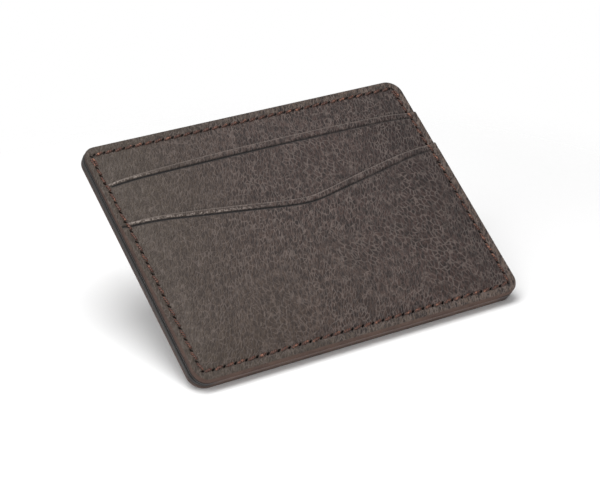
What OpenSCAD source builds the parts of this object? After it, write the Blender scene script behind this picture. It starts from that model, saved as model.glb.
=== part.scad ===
// Slim leather card wallet: a plain back half and a front half with two card
// pockets, sewn together round three sides. Between the halves a slip pocket
// opens at the top edge. The wallet lies on its back, front face up.
// Origin: centre of the outline, on the plane the back rests on.
// +X runs to the right, +Y to the mouth at the top edge, +Z out of the front.

/* [Outline] */
// Width across the side edges
body_w = 102; // [96:1:112]
// Height from the bottom edge to the mouth
body_h = 75; // [72:1:84]
// Radius of the outline's corners
corner_r = 4.5; // [3:0.5:8]

/* [Leather and lining] */
// Thickness of the back panel
back_panel_t = 1.6; // [1.4:0.1:2.4]
// Thickness of each lining
lining_t = 0.4; // [0.4:0.1:0.8]
// Thickness of the front panel
front_panel_t = 0.7; // [0.6:0.1:1.2]
// Thickness of each card pocket
pocket_t = 0.7; // [0.6:0.1:1.2]

/* [Fullness] */
// How far the back half swells out past its sewn border
back_fullness = 0.5; // [0.2:0.1:1]
// How far the front panel swells out past its sewn border
front_fullness = 0.6; // [0.2:0.1:1.5]
// Extra swell of each card pocket over the ply behind it
pocket_ease = 0.3; // [0.2:0.1:0.6]
// Distance over which the swell fades out towards a seam
ease_run = 12; // [8:0.5:12]

/* [Upper pocket lip, above mid-height] */
// Height at the left edge
upper_lip_left = 24.7; // [22:0.1:27]
// Height at the middle
upper_lip_mid = 26.4; // [22:0.1:28]
// Height at the right edge
upper_lip_right = 25.2; // [22:0.1:27]

/* [Lower pocket lip, above mid-height] */
// Height at the left edge
lower_lip_left = 12.1; // [8:0.1:16]
// Height at the bottom of the dip
lower_lip_dip = 5.9; // [0:0.1:8]
// Height at the right edge
lower_lip_right = 13.6; // [8:0.1:16]
// Place of the dip, to the right of the middle
dip_x = 3.5; // [-10:0.5:10]
// Roundness of the dip, as a share of one arm's length
dip_roundness = 0.12; // [0.05:0.01:0.3]
// How far the arms bow upwards
arm_bow = 0.4; // [0:0.05:0.6]

/* [Stitching] */
// Distance from the outline to the seams
stitch_inset = 2.65; // [2.2:0.05:3.2]
// Thread on the outer faces
outer_thread_d = 0.7; // [0.5:0.05:0.8]
// Thread on the faces inside the pockets
inner_thread_d = 0.4; // [0.3:0.05:0.4]
// Needle hole
hole_d = 0.9; // [0.85:0.05:1.1]
// Sideways lean of a stitch, at each of its ends
stitch_lean = 0.2; // [0:0.05:0.25]
// Stitches in a side seam, above the upper lip
side_stitches_high = 3; // [2:1:4]
// Stitches in a side seam, between the lips
side_stitches_mid = 4; // [3:1:5]
// Stitches in a side seam, below the lower lip
side_stitches_low = 14; // [10:1:18]
// Stitches in the bottom seam
bottom_stitches = 30; // [20:1:36]
// Stitches in each mouth seam
mouth_stitches = 32; // [20:1:38]
// Stitches in the card stop seam
stop_stitches = 26; // [16:1:30]
// Height of the card stop seam above the bottom seam
card_stop_rise = 13.6; // [13.5:0.1:20]

/* [Hidden] */

leather = [0.33, 0.29, 0.27];
lining_cloth = [0.24, 0.2, 0.18];
rust_thread = [0.5, 0.28, 0.19];

half_w = body_w / 2;
half_h = body_h / 2;

// Heights of the ply faces in the sewn border, from the back to the front.
z_back = back_fullness;
z_back_lining = z_back + back_panel_t;
z_seam = z_back_lining + lining_t;
z_front_panel = z_seam + lining_t;
z_upper_pocket = z_front_panel + front_panel_t;
z_lower_pocket = z_upper_pocket + pocket_t;
z_top = z_lower_pocket + pocket_t;

// Swell of each card pocket over the border.
upper_fullness = front_fullness + pocket_ease;
lower_fullness = upper_fullness + pocket_ease;

// Rectangle of the seams, and the margin outside which the plies lie flat.
seam_x = half_w - stitch_inset;
seam_y = half_h - stitch_inset;
swell_gap = 1.2;
swell_margin = stitch_inset + swell_gap;
swell_corner_r = 6;

// Gap between a corner of the seam rectangle and the nearest hole of a seam.
corner_gap = 1.3;
// Distance from a lip to the hole just above it.
lip_gap = 0.6;
// Distance from the side seams to the ends of the card stop seam.
stop_gap = 4;
stop_y = card_stop_rise - seam_y;

// Depth of the channels that the threads lie in. On the back they hold the
// whole thread, so that the wallet rests on its leather.
front_channel = 0.4;
back_channel = outer_thread_d + 0.1;
inner_channel = 0.4;
// Room beside a thread in its channel.
channel_play = 0.08;
// Thickness of a thread inside its hole, where it is pulled thin, as a
// share of the thread.
leg_share = 0.85;
// Sides of a thread's outline.
thread_sides = 8;

// Overlap that joins or cuts shapes cleanly.
bite = 0.1;
// Reach of a cutter past the part.
past = 20;
$fn = 32;

// ---- Outline and lips -------------------------------------------------

function lerp(a, b, t) = a + (b - a) * t;

// Height of the upper lip: a parabola through its two ends and its middle.
function upper_lip(x) =
  let (u = x / half_w)
  upper_lip_mid * (1 - u * u)
    + upper_lip_left * u * (u - 1) / 2
    + upper_lip_right * u * (u + 1) / 2;

// A straight arm from 0 at the dip to 1 at the edge, rounded at the dip.
function rounded_arm(t) =
  (sqrt(t * t + dip_roundness * dip_roundness) - dip_roundness)
    / (sqrt(1 + dip_roundness * dip_roundness) - dip_roundness);

// Height of the lower lip: a shallow V with a rounded dip and bowed arms.
function lower_lip(x) =
  let (
    end_x = x < dip_x ? -half_w : half_w,
    end_y = x < dip_x ? lower_lip_left : lower_lip_right,
    arm = rounded_arm((x - dip_x) / (end_x - dip_x))
  )
  lerp(lower_lip_dip, end_y, arm * (1 + arm_bow * (1 - arm)));

// Places across at which a lip's line is drawn.
lip_steps = 34;
lip_xs = [for (i = [0:lip_steps]) lerp(-half_w, half_w, i / lip_steps)];

module rounded_rect(x0, x1, y0, y1, r) {
  translate([x0 + r, y0]) square([x1 - x0 - 2 * r, y1 - y0]);
  translate([x0, y0 + r]) square([x1 - x0, y1 - y0 - 2 * r]);
  for (x = [x0 + r, x1 - r], y = [y0 + r, y1 - r])
    translate([x, y]) circle(r);
}

module outline() {
  rounded_rect(-half_w, half_w, -half_h, half_h, corner_r);
}

// Everything above a lip, to be cut away. The ends run out past the sides.
module above_lip(points) {
  first = points[0];
  last = points[len(points) - 1];
  linear_extrude(past)
    polygon(concat(
      [[-half_w - past, first[1]]],
      points,
      [[half_w + past, last[1]], [half_w + past, half_h + past]],
      [[-half_w - past, half_h + past]]
    ));
}

module above_upper_lip() {
  above_lip([for (x = lip_xs) [x, upper_lip(x)]]);
}

module above_lower_lip() {
  above_lip([for (x = lip_xs) [x, lower_lip(x)]]);
}

// ---- Plies ------------------------------------------------------------

// Swell of the front half over height z. It closes before every seam.
module front_swell(z, rise) {
  inner = swell_margin + ease_run;
  hull() {
    translate([0, 0, z - bite]) linear_extrude(bite)
      rounded_rect(-half_w + swell_margin, half_w - swell_margin,
        -half_h + swell_margin, half_h - swell_margin, swell_corner_r);
    translate([0, 0, z]) linear_extrude(rise)
      rounded_rect(-half_w + inner, half_w - inner,
        -half_h + inner, half_h - inner, swell_corner_r);
  }
}

// Swell of the back half below height z. It runs out through the mouth.
module back_swell(z) {
  inner = swell_margin + ease_run;
  hull() {
    translate([0, 0, z]) linear_extrude(bite)
      rounded_rect(-half_w + swell_margin, half_w - swell_margin,
        -half_h + swell_margin, half_h + past, swell_corner_r);
    translate([0, 0, z - back_fullness]) linear_extrude(back_fullness)
      rounded_rect(-half_w + inner, half_w - inner,
        -half_h + inner, half_h + past, swell_corner_r);
  }
}

module front_ply(z, t, rise) {
  difference() {
    union() {
      translate([0, 0, z]) linear_extrude(t) outline();
      front_swell(z + t, rise);
    }
    front_swell(z, rise);
  }
}

module back_ply(z, t) {
  difference() {
    intersection() {
      union() {
        translate([0, 0, z]) linear_extrude(t) outline();
        back_swell(z);
      }
      linear_extrude(z_top) outline();
    }
    back_swell(z + t);
  }
}

// ---- Seams ------------------------------------------------------------

// Share of the full swell at x, along a row that crosses the swell.
function swell_share(x) =
  min(1, max(0, (half_w - swell_margin - abs(x)) / ease_run));

// Holes along one side seam, from the mouth down to the bottom corner. A
// hole stands just above each lip, so that a stitch wraps over it.
function side_holes(x) =
  let (
    y_high = seam_y - corner_gap,
    y_mid = upper_lip(x) + lip_gap,
    y_low = lower_lip(x) + lip_gap
  )
  concat(
    [for (i = [0:side_stitches_high - 1])
      [x, lerp(y_high, y_mid, i / side_stitches_high)]],
    [for (i = [0:side_stitches_mid - 1])
      [x, lerp(y_mid, y_low, i / side_stitches_mid)]],
    [for (i = [0:side_stitches_low])
      [x, lerp(y_low, -seam_y, i / side_stitches_low)]]
  );

function reversed(list) = [for (i = [len(list) - 1:-1:0]) list[i]];

outer_holes = concat(
  side_holes(-seam_x),
  [for (i = [1:bottom_stitches - 1])
    [lerp(-seam_x, seam_x, i / bottom_stitches), -seam_y]],
  reversed(side_holes(seam_x))
);

// Height of the front face under each stitch of one side seam.
side_levels = concat(
  [for (i = [1:side_stitches_high]) z_upper_pocket],
  [for (i = [1:side_stitches_mid]) z_lower_pocket],
  [for (i = [1:side_stitches_low]) z_top]
);

outer_levels = concat(
  side_levels,
  [for (i = [1:bottom_stitches]) z_top],
  reversed(side_levels)
);

function row_holes(x_end, y, count) =
  [for (i = [0:count]) [lerp(-x_end, x_end, i / count), y]];

mouth_holes = row_holes(seam_x - corner_gap, seam_y, mouth_stitches);
stop_holes = row_holes(seam_x - stop_gap, stop_y, stop_stitches);

module hole_set(holes) {
  for (p = holes)
    translate([p[0], p[1], -bite]) cylinder(h = past, d = hole_d);
}

// A straight bar between two points, and a bite past each of them.
module bar(p, q, d) {
  v = q - p;
  flat = norm([v[0], v[1]]);
  translate(p) rotate([0, 0, atan2(v[1], v[0])])
    rotate([0, 90 - atan2(v[2], flat), 0])
      translate([0, 0, -bite])
        cylinder(h = norm(v) + 2 * bite, d = d, $fn = thread_sides);
}

// One thread of a seam. Stitch i lies at height starts[i] at its first
// hole and ends[i] at its second, and a leg in each hole runs to z_meet[i],
// where the seam's two threads lock.
module thread(holes, starts, ends, z_meet, d) {
  last = len(holes) - 1;
  for (i = [0:last - 1]) {
    run = holes[i + 1] - holes[i];
    lean = stitch_lean * [-run[1], run[0]] / norm(run);
    p = holes[i] - lean;
    q = holes[i + 1] + lean;
    bar([p[0], p[1], starts[i]], [q[0], q[1], ends[i]], d);
  }
  for (i = [0:last]) {
    z_near = i == last ? ends[i - 1] : starts[i];
    z_far = i == 0 ? starts[i] : ends[i - 1];
    top = abs(z_near - z_meet[i]) > abs(z_far - z_meet[i]) ? z_near : z_far;
    translate([holes[i][0], holes[i][1], min(top, z_meet[i])])
      cylinder(h = abs(top - z_meet[i]), d = d * leg_share, $fn = thread_sides);
  }
}

function repeated(value, holes) = [for (p = holes) value];

// A thread along a row of holes. It lies at height z over the border, and
// its two threads lock at height meet_z. Where the swell is full, the two
// heights have changed by swell and meet_swell.
module row_thread(holes, z, swell, meet_z, meet_swell, d) {
  heights = [for (p = holes) z + swell * swell_share(p[0])];
  ends = [for (i = [1:len(heights) - 1]) heights[i]];
  meets = [for (p = holes) meet_z + meet_swell * swell_share(p[0])];
  color(rust_thread) thread(holes, heights, ends, meets, d);
}

// Width of a channel round the leaning stitches of one thread.
function channel_w(d) = d + 2 * stitch_lean + 2 * channel_play;

// Top end of the channels down the side seams, past their highest hole.
channel_high = seam_y - corner_gap + channel_w(outer_thread_d) / 2;

// Channel down one side seam, from height y_high to height y_low. It is h
// deep and starts at height z.
module side_channel(x, y_low, y_high, z, h, d) {
  translate([x - channel_w(d) / 2, y_low, z])
    cube([channel_w(d), y_high - y_low, h]);
}

// Channel round the outer seam, between two heights.
module outer_channel(y_high, z, h) {
  w = channel_w(outer_thread_d);
  for (x = [-seam_x, seam_x])
    side_channel(x, -seam_y - w / 2, y_high, z, h, outer_thread_d);
  translate([-seam_x - w / 2, -seam_y - w / 2, z])
    cube([2 * seam_x + w, w, h]);
}

// Channel along a row of holes. Its floor follows the swell: floor_z is its
// height over the border, and it changes by swell where the swell is full.
module row_channel(x_end, y, floor_z, swell, open_z, d) {
  knee = half_w - swell_margin;
  reach = x_end + channel_w(d) / 2;
  floor_line = [for (x = [-reach, -knee, ease_run - knee, knee - ease_run, knee, reach])
    if (abs(x) <= reach) [x, floor_z + swell * swell_share(x)]];
  translate([0, y + channel_w(d) / 2, 0]) rotate([90, 0, 0])
    linear_extrude(channel_w(d))
      polygon(concat(floor_line, [[reach, open_z], [-reach, open_z]]));
}

// ---- Leather and lining nodes ----------------------------------------

module back_panel() {
  color(leather) difference() {
    back_ply(z_back, back_panel_t);
    hole_set(outer_holes);
    hole_set(mouth_holes);
    outer_channel(channel_high, z_back - past, past + back_channel);
    row_channel(seam_x - corner_gap, seam_y, z_back + back_channel,
      -back_fullness, -past, outer_thread_d);
  }
}

module back_lining() {
  color(lining_cloth) difference() {
    back_ply(z_back_lining, lining_t);
    hole_set(outer_holes);
    hole_set(mouth_holes);
    row_channel(seam_x - corner_gap, seam_y, z_seam - inner_channel,
      -back_fullness, past, inner_thread_d);
  }
}

module front_lining() {
  color(lining_cloth) difference() {
    front_ply(z_seam, lining_t, front_fullness);
    hole_set(outer_holes);
    hole_set(mouth_holes);
    hole_set(stop_holes);
    row_channel(seam_x - corner_gap, seam_y, z_seam + inner_channel,
      0, -past, inner_thread_d);
    row_channel(seam_x - stop_gap, stop_y, z_seam + inner_channel,
      front_fullness, -past, inner_thread_d);
  }
}

module front_panel() {
  color(leather) difference() {
    front_ply(z_front_panel, front_panel_t, front_fullness);
    hole_set(outer_holes);
    hole_set(mouth_holes);
    hole_set(stop_holes);
    for (x = [-seam_x, seam_x])
      side_channel(x, upper_lip(x), channel_high,
        z_upper_pocket - front_channel, past, outer_thread_d);
    row_channel(seam_x - corner_gap, seam_y, z_upper_pocket - front_channel,
      0, past, outer_thread_d);
  }
}

module upper_card_pocket() {
  color(leather) difference() {
    front_ply(z_upper_pocket, pocket_t, upper_fullness);
    above_upper_lip();
    hole_set(outer_holes);
    hole_set(stop_holes);
    for (x = [-seam_x, seam_x])
      side_channel(x, lower_lip(x), upper_lip(x) + lip_gap,
        z_lower_pocket - front_channel, past, outer_thread_d);
    row_channel(seam_x - stop_gap, stop_y, z_lower_pocket - inner_channel,
      upper_fullness, past, inner_thread_d);
  }
}

module lower_card_pocket() {
  color(leather) difference() {
    front_ply(z_lower_pocket, pocket_t, lower_fullness);
    above_lower_lip();
    hole_set(outer_holes);
    outer_channel(channel_high, z_top - front_channel, past);
  }
}

// ---- Thread nodes -----------------------------------------------------

module outer_seam_front_thread() {
  lift = outer_thread_d / 2 - front_channel;
  levels = [for (z = outer_levels) z + lift];
  color(rust_thread)
    thread(outer_holes, levels, levels, repeated(z_seam, outer_holes), outer_thread_d);
}

module outer_seam_back_thread() {
  z = z_back + back_channel - outer_thread_d / 2;
  levels = repeated(z, outer_holes);
  color(rust_thread)
    thread(outer_holes, levels, levels, repeated(z_seam, outer_holes), outer_thread_d);
}

module front_mouth_outer_thread() {
  row_thread(mouth_holes, z_upper_pocket - front_channel + outer_thread_d / 2,
    0, z_front_panel, 0, outer_thread_d);
}

module front_mouth_inner_thread() {
  row_thread(mouth_holes, z_seam + inner_channel - inner_thread_d / 2,
    0, z_front_panel, 0, inner_thread_d);
}

module back_mouth_outer_thread() {
  row_thread(mouth_holes, z_back + back_channel - outer_thread_d / 2,
    -back_fullness, z_back_lining, -back_fullness, outer_thread_d);
}

module back_mouth_inner_thread() {
  row_thread(mouth_holes, z_seam - inner_channel + inner_thread_d / 2,
    -back_fullness, z_back_lining, -back_fullness, inner_thread_d);
}

module card_stop_front_thread() {
  row_thread(stop_holes, z_lower_pocket - inner_channel + inner_thread_d / 2,
    upper_fullness, z_front_panel, front_fullness, inner_thread_d);
}

module card_stop_back_thread() {
  row_thread(stop_holes, z_seam + inner_channel - inner_thread_d / 2,
    front_fullness, z_front_panel, front_fullness, inner_thread_d);
}

back_panel();
back_lining();
front_lining();
front_panel();
upper_card_pocket();
lower_card_pocket();
outer_seam_front_thread();
outer_seam_back_thread();
front_mouth_outer_thread();
front_mouth_inner_thread();
back_mouth_outer_thread();
back_mouth_inner_thread();
card_stop_front_thread();
card_stop_back_thread();
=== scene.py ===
"""Slim leather card wallet: two sewn halves, two card pockets and rust-brown seams."""

import logging
import math
import random
from dataclasses import dataclass, field
from enum import Enum

import bpy
import numpy as np
from mathutils import Matrix, Vector


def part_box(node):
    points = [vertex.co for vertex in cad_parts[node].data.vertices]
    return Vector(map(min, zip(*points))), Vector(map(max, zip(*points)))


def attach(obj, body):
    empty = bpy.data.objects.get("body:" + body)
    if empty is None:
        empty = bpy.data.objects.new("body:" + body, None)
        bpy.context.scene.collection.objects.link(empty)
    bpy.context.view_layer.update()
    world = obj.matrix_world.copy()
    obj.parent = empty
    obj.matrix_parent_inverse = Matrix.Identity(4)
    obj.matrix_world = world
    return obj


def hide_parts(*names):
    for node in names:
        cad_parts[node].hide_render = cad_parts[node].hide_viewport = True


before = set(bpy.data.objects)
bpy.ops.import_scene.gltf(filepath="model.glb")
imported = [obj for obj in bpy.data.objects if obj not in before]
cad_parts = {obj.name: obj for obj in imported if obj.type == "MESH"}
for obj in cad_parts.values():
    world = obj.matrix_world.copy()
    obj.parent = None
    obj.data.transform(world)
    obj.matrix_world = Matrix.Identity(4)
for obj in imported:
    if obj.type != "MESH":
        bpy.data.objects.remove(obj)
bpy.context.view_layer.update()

log = logging.getLogger("wallet")

MM = 0.001

Colour = tuple[float, float, float]
Point = tuple[float, float]
Array = np.ndarray
Piece = bpy.types.Object
Material = bpy.types.Material
Socket = bpy.types.NodeSocket


# ---- Layout of the wallet, in millimetres --------------------------------


def rounded_inset(x: Array, y: Array, half_x: float, half_y: float, r: float) -> Array:
    """Distance inwards from a rounded rectangle about the origin.

    Args:
        x: Places across.
        y: Places up.
        half_x: Half the rectangle's width.
        half_y: Half its height.
        r: Radius of its corners.

    Returns:
        The distances, below zero outside the rectangle.
    """
    qx = np.abs(x) - (half_x - r)
    qy = np.abs(y) - (half_y - r)
    return r - np.hypot(np.maximum(qx, 0), np.maximum(qy, 0)) - np.minimum(np.maximum(qx, qy), 0)


def smooth(t: Array) -> Array:
    """Ease from 0 to 1 with level ends."""
    t = np.clip(t, 0, 1)
    return t * t * (3 - 2 * t)


def dent(distance: Array, width: float) -> Array:
    """Bell-shaped dent, 1 at no distance and gone at about twice the width."""
    return np.exp(-((distance / width) ** 2))


@dataclass(frozen=True)
class Outline:
    """Outline that all plies share."""

    half_w: float
    half_h: float
    corner_r: float = 4.5
    ease: float = 4.5
    rounds: int = 8

    def drawn_in(self, x: Array, by: float) -> Array:
        """Draw the left edge in, more and more over its last few millimetres."""
        return x + by * np.clip((self.ease - self.half_w - x) / self.ease, 0, 1) ** 2

    def let_out(self, x: Array, by: float) -> Array:
        """Find where places lay before the left edge was drawn in.

        Args:
            x: Places across, drawn in.
            by: How far the edge itself was drawn in.

        Returns:
            The places as they were.
        """
        before = x
        for _ in range(self.rounds):
            before = x - (self.drawn_in(before, by) - before)
        return before

    def inset(self, x: Array, y: Array) -> Array:
        """Distance inwards from the outline."""
        return rounded_inset(x, y, self.half_w, self.half_h, self.corner_r)

    def turn_corners(self, x: Array, y: Array) -> tuple[Array, Array]:
        """Bend a square grid's corners round to the outline's radius.

        Args:
            x: Places across, out to the straight sides.
            y: Places up, out to the straight sides.

        Returns:
            The bent places.
        """
        r = self.corner_r
        a = (np.abs(x) - (self.half_w - r)) / r
        b = (np.abs(y) - (self.half_h - r)) / r
        corner = (a > 0) & (b > 0)
        bent_x = self.half_w - r + r * a * np.sqrt(np.maximum(1 - b * b / 2, 0))
        bent_y = self.half_h - r + r * b * np.sqrt(np.maximum(1 - a * a / 2, 0))
        return (np.where(corner, np.sign(x) * bent_x, x), np.where(corner, np.sign(y) * bent_y, y))


@dataclass(frozen=True)
class Swell:
    """Gentle fullness of a half inside its sewn border."""

    outline: Outline
    margin: float = 3.85
    run: float = 12.0
    corner_r: float = 6.0
    through_mouth: bool = False
    shoulder: float = 0.12
    shoulder_share: float = 0.35
    dome_share: float = 0.65

    def share(self, x: Array, y: Array) -> Array:
        """Share of the full swell.

        Args:
            x: Places across.
            y: Places up.

        Returns:
            0 in the sewn border, up to 1 where the swell is full.
        """
        y_in = np.minimum(y, 0) if self.through_mouth else y
        inset = rounded_inset(
            x, y_in, self.outline.half_w - self.margin, self.outline.half_h - self.margin, self.corner_r
        )
        t = np.clip(inset / self.run, 0, 1)
        dome = 1 - (1 - t) ** 2
        return smooth(t / self.shoulder) * dome * self.shoulder_share + self.dome_share * dome


@dataclass(frozen=True)
class UpperLip:
    """Lip of the upper pocket: a very shallow arch."""

    half_w: float
    left: float = 24.7
    mid: float = 26.4
    right: float = 25.2
    crease_mid: float = 2.2
    crease_end: float = 1.2
    crease_x: float = 12.0
    crease_reach: float = 56.0
    # right end of the painted glint on this lip
    glint_to: float = -38.0

    def height(self, x: Array) -> Array:
        """Height of the lip above mid-height."""
        u = x / self.half_w
        return self.mid * (1 - u * u) + self.left * u * (u - 1) / 2 + self.right * u * (u + 1) / 2

    def crease_drop(self, x: Array) -> Array:
        """Distance from the lip down to its creased line."""
        u = (x - self.crease_x) / self.crease_reach
        return self.crease_mid - (self.crease_mid - self.crease_end) * u**2


@dataclass(frozen=True)
class LowerLip:
    """Lip of the lower pocket: a wide V with a rounded dip and bowed arms."""

    half_w: float
    left: float = 12.1
    dip: float = 5.9
    right: float = 13.6
    dip_x: float = 3.5
    roundness: float = 0.12
    bow: float = 0.4
    crease_mid: float = 1.83
    left_rise: float = 0.75
    left_x: float = -22.0
    left_run: float = 34.0
    right_dip: float = 0.45
    right_x: float = 29.0
    right_width: float = 13.0
    # right end of the painted glint on this lip
    glint_to: float = -14.0

    def height(self, x: Array) -> Array:
        """Height of the lip above mid-height.

        Args:
            x: Places across.

        Returns:
            The heights.
        """
        x = np.asarray(x, float)
        on_left = x < self.dip_x
        end_x = np.where(on_left, -self.half_w, self.half_w)
        end_y = np.where(on_left, self.left, self.right)
        t = (x - self.dip_x) / (end_x - self.dip_x)
        r = self.roundness
        arm = (np.sqrt(t * t + r * r) - r) / (math.sqrt(1 + r * r) - r)
        return self.dip + (end_y - self.dip) * arm * (1 + self.bow * (1 - arm))

    def crease_drop(self, x: Array) -> Array:
        """Distance from the lip down to its creased line."""
        higher = self.left_rise * smooth((self.left_x - x) / self.left_run)
        return self.crease_mid - higher + self.right_dip * dent(x - self.right_x, self.right_width)


Lip = UpperLip | LowerLip


@dataclass(frozen=True)
class Levels:
    """Heights of the ply faces in the sewn border, and the swells."""

    back: float
    back_lining: float
    seam: float
    front_panel: float
    upper_pocket: float
    lower_pocket: float
    top: float
    back_swell: float
    front_swell: float
    upper_swell: float
    lower_swell: float

    @staticmethod
    def from_frame() -> "Levels":
        """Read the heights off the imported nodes.

        Returns:
            The heights and swells, in millimetres.
        """
        low = {n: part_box(n)[0].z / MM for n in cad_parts}
        high = {n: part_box(n)[1].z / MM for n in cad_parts}
        back_swell = high["back_panel"] - low["back_lining"]
        front_swell = high["front_lining"] - low["front_panel"]
        upper_swell = high["upper_card_pocket"] - low["lower_card_pocket"]
        return Levels(
            back=low["back_panel"] + back_swell,
            back_lining=high["back_panel"],
            seam=high["back_lining"],
            front_panel=low["front_panel"],
            upper_pocket=low["upper_card_pocket"],
            lower_pocket=low["lower_card_pocket"],
            top=low["lower_card_pocket"] + low["lower_card_pocket"] - low["upper_card_pocket"],
            back_swell=back_swell,
            front_swell=front_swell,
            upper_swell=upper_swell,
            lower_swell=2 * upper_swell - front_swell,
        )


@dataclass(frozen=True)
class Layout:
    """Everything that the pieces share."""

    outline: Outline
    levels: Levels
    upper_lip: UpperLip
    lower_lip: LowerLip

    @staticmethod
    def from_frame() -> "Layout":
        """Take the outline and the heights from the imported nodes.

        Returns:
            The layout.
        """
        low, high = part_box("back_panel")
        half_w = (high.x - low.x) / 2 / MM
        half_h = (high.y - low.y) / 2 / MM
        return Layout(
            outline=Outline(half_w, half_h),
            levels=Levels.from_frame(),
            upper_lip=UpperLip(half_w),
            lower_lip=LowerLip(half_w),
        )

    def cut(self) -> tuple[float, float]:
        """Width and height of a whole ply before it is sewn, in metres."""
        return 2 * self.outline.half_w * MM, 2 * self.outline.half_h * MM


# ---- Finishes -------------------------------------------------------------


class Bench:
    """Lays out one material's nodes and joins them."""

    def __init__(self, name: str) -> None:
        """Start an empty material.

        Args:
            name: The material's name.
        """
        self.material = bpy.data.materials.new(name)
        self.material.use_nodes = True
        self.tree = self.material.node_tree
        self.tree.nodes.clear()
        self.output = self.add("ShaderNodeOutputMaterial")
        self.shader = self.add("ShaderNodeBsdfPrincipled")
        self.join(self.shader.outputs[0], self.output.inputs[0])
        self.place = self.add("ShaderNodeTexCoord").outputs["Object"]

    def add(self, kind: str, settings: dict | None = None, **sockets: object) -> bpy.types.Node:
        """Add a node.

        Args:
            kind: The node's type.
            settings: Properties of the node.
            sockets: Values or links of its inputs, by name with _ for a space.

        Returns:
            The node.
        """
        node = self.tree.nodes.new(kind)
        for key, value in (settings or {}).items():
            setattr(node, key, value)
        for key, value in sockets.items():
            self.feed(node.inputs[key.replace("_", " ")], value)
        return node

    def feed(self, socket: Socket, value: object) -> None:
        """Give a socket a value or a colour, or join it to another node's output.

        Args:
            socket: The input.
            value: A number, place or colour, or the output to join.
        """
        if isinstance(value, Socket):
            self.join(value, socket)
        elif socket.type == "RGBA":
            socket.default_value = (*value, 1.0)
        else:
            socket.default_value = value

    def surface(self, **sockets: object) -> None:
        """Feed the shader's own inputs, by name with _ for a space."""
        for key, value in sockets.items():
            self.feed(self.shader.inputs[key.replace("_", " ")], value)

    def join(self, out: Socket, socket: Socket) -> None:
        """Join an output to an input."""
        self.tree.links.new(out, socket)

    def maths(self, operation: str, *values: object) -> Socket:
        """Work out one number from others.

        Args:
            operation: What to do with them.
            values: The numbers.

        Returns:
            The result.
        """
        node = self.add("ShaderNodeMath", {"operation": operation})
        for socket, value in zip(node.inputs, values):
            self.feed(socket, value)
        return node.outputs[0]

    def mix(self, share: object, a: object, b: object) -> Socket:
        """Blend two colours.

        Args:
            share: How much of the second there is.
            a: The first colour.
            b: The second colour.

        Returns:
            The blend.
        """
        node = self.add("ShaderNodeMix", {"data_type": "RGBA"})
        self.feed(node.inputs[0], share)
        self.feed(node.inputs[6], a)
        self.feed(node.inputs[7], b)
        return node.outputs[2]

    def ramp(self, value: object, low: float, high: float, to_low: float = 0, to_high: float = 1) -> Socket:
        """Carry a range of numbers over to another, with soft ends.

        Args:
            value: The number to carry over.
            low: Start of its range.
            high: End of its range.
            to_low: What the start becomes.
            to_high: What the end becomes.

        Returns:
            The new number.
        """
        node = self.add("ShaderNodeMapRange", {"interpolation_type": "SMOOTHSTEP"})
        for key, number in (("From Min", low), ("From Max", high), ("To Min", to_low), ("To Max", to_high)):
            node.inputs[key].default_value = number
        self.feed(node.inputs["Value"], value)
        return node.outputs[0]

    def noise(self, place: object, scale: float, detail: float = 2, rough: float = 0.5) -> Socket:
        """Soft random pattern.

        Args:
            place: Where to read it.
            scale: Cells to a metre.
            detail: Finer layers.
            rough: Weight of the finer layers.

        Returns:
            The pattern, from 0 to 1.
        """
        node = self.add("ShaderNodeTexNoise", Vector=place, Scale=scale, Detail=detail, Roughness=rough)
        return node.outputs["Fac"]

    def stretched(self, along: float, lean: float = 0, place: object = None) -> Socket:
        """Object place, for a pattern drawn out along a leaning line.

        Args:
            along: How many times longer the pattern is along the line.
            lean: Angle from +Y to the line, towards +X.
            place: Place to start from, if it isn't the object's own.

        Returns:
            The place to read the pattern at.
        """
        node = self.add("ShaderNodeMapping", {"vector_type": "TEXTURE"}, Vector=place or self.place)
        node.inputs["Rotation"].default_value = (0, 0, -lean)
        node.inputs["Scale"].default_value = (1, along, 1)
        return node.outputs[0]

    def apart(self, place: object, centre: object) -> Socket:
        """Distance from a fixed point.

        Args:
            place: Where to measure.
            centre: The point.

        Returns:
            The distance, in metres.
        """
        node = self.add("ShaderNodeVectorMath", {"operation": "DISTANCE"})
        self.feed(node.inputs[0], place)
        node.inputs[1].default_value = centre
        return node.outputs["Value"]

    def attribute(self, name: str) -> Socket:
        """A number stored on the mesh."""
        return self.add("ShaderNodeAttribute", {"attribute_name": name}).outputs["Fac"]

    def bump(self, height: object, distance: float, strength: float, normal: object = None) -> Socket:
        """Raise the surface by a height pattern.

        Args:
            height: The pattern.
            distance: Height of its peaks, in metres.
            strength: Share of it that shows.
            normal: A surface that is already raised.

        Returns:
            The raised surface's normal.
        """
        node = self.add("ShaderNodeBump", Height=height, Distance=distance, Strength=strength)
        if normal is not None:
            self.feed(node.inputs["Normal"], normal)
        return node.outputs[0]


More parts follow.
